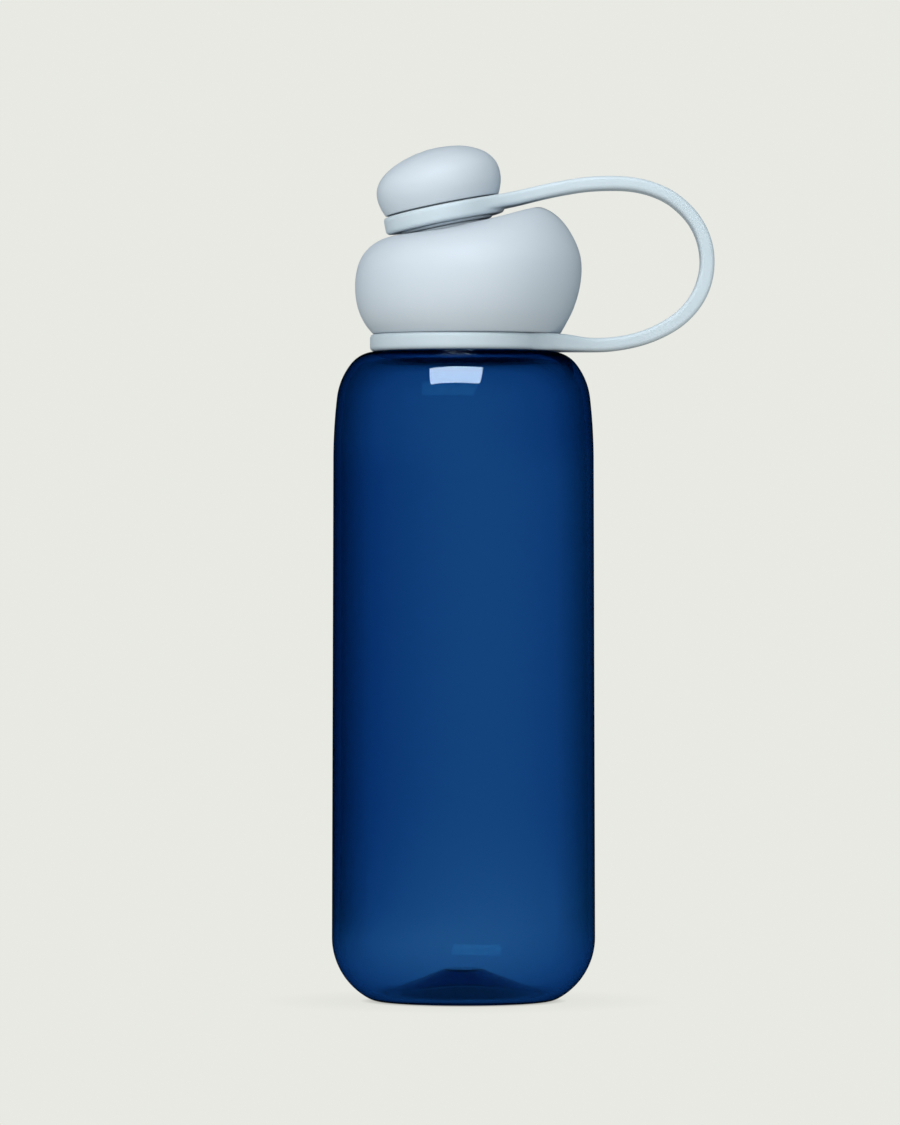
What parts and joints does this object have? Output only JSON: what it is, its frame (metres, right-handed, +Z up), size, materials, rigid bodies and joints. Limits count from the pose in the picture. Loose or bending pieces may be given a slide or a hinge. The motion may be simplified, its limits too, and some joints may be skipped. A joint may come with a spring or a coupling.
{
  "type": "screw-lid water bottle with a tethered spout cap",
  "caption": "Clear blue cylindrical water bottle with a pebble-shaped screw lid, a tilted spout under a small screw cap, and a flexible carrying strap looped between cap and neck.",
  "frame": {"origin": "centre of the bottle's standing ring, on the body's axis, at the plane it stands on", "axes": "+Z up along the bottle's axis, +X toward the strap's loop, the spout leans toward -X, the bottle is the same on both sides of the XZ plane"},
  "size_m": [0.1102, 0.076, 0.2473],
  "materials": {
    "clear_blue": "clear, deep blue tint, polished",
    "pale_blue_shell": "fine matte, soft touch",
    "liner_plastic": "smooth moulded polypropylene",
    "spout_plastic": "satin",
    "strap_silicone": "matte silicone",
    "seal_silicone": "translucent silicone"
  },
  "bodies": {
    "bottle": {"bottle_body": "clear_blue"},
    "neck_ring": {"strap_neck_ring": "strap_silicone"},
    "lid": {"lid_shell": "pale_blue_shell", "lid_liner": "liner_plastic", "lid_gasket": "seal_silicone", "spout": "spout_plastic", "strap_lower_arm": "strap_silicone", "strap_upper_arm": "strap_silicone"},
    "cap_ring": {"strap_cap_ring": "strap_silicone"},
    "cap": {"cap_shell": "pale_blue_shell", "cap_liner": "liner_plastic", "cap_gasket": "seal_silicone"}
  },
  "joints": [
    {"name": "lid_turn", "type": "hinge", "parent": "bottle", "child": "neck_ring", "pos_m": [0, 0, 0.1895], "axis": [0, 0, 1], "range_deg": [0, 810]},
    {"name": "lid_rise", "type": "slide", "parent": "neck_ring", "child": "lid", "axis": [0, 0, 1], "range_m": [0, 0.01125], "deforming": ["strap_lower_arm"]},
    {"name": "cap_rise", "type": "slide", "parent": "lid", "child": "cap_ring", "axis": [-0.1959, 0, 0.9806], "range_m": [0, 0.009], "deforming": ["strap_upper_arm"]},
    {"name": "cap_turn", "type": "hinge", "parent": "cap_ring", "child": "cap", "pos_m": [-0.0062, 0, 0.2296], "axis": [-0.1959, 0, 0.9806], "range_deg": [0, 810]}
  ],
  "couplings": [
    {"joint": "lid_rise", "follows": "lid_turn", "m_per_rad": 0.00079577},
    {"joint": "cap_rise", "follows": "cap_turn", "m_per_rad": 0.00063662}
  ]
}
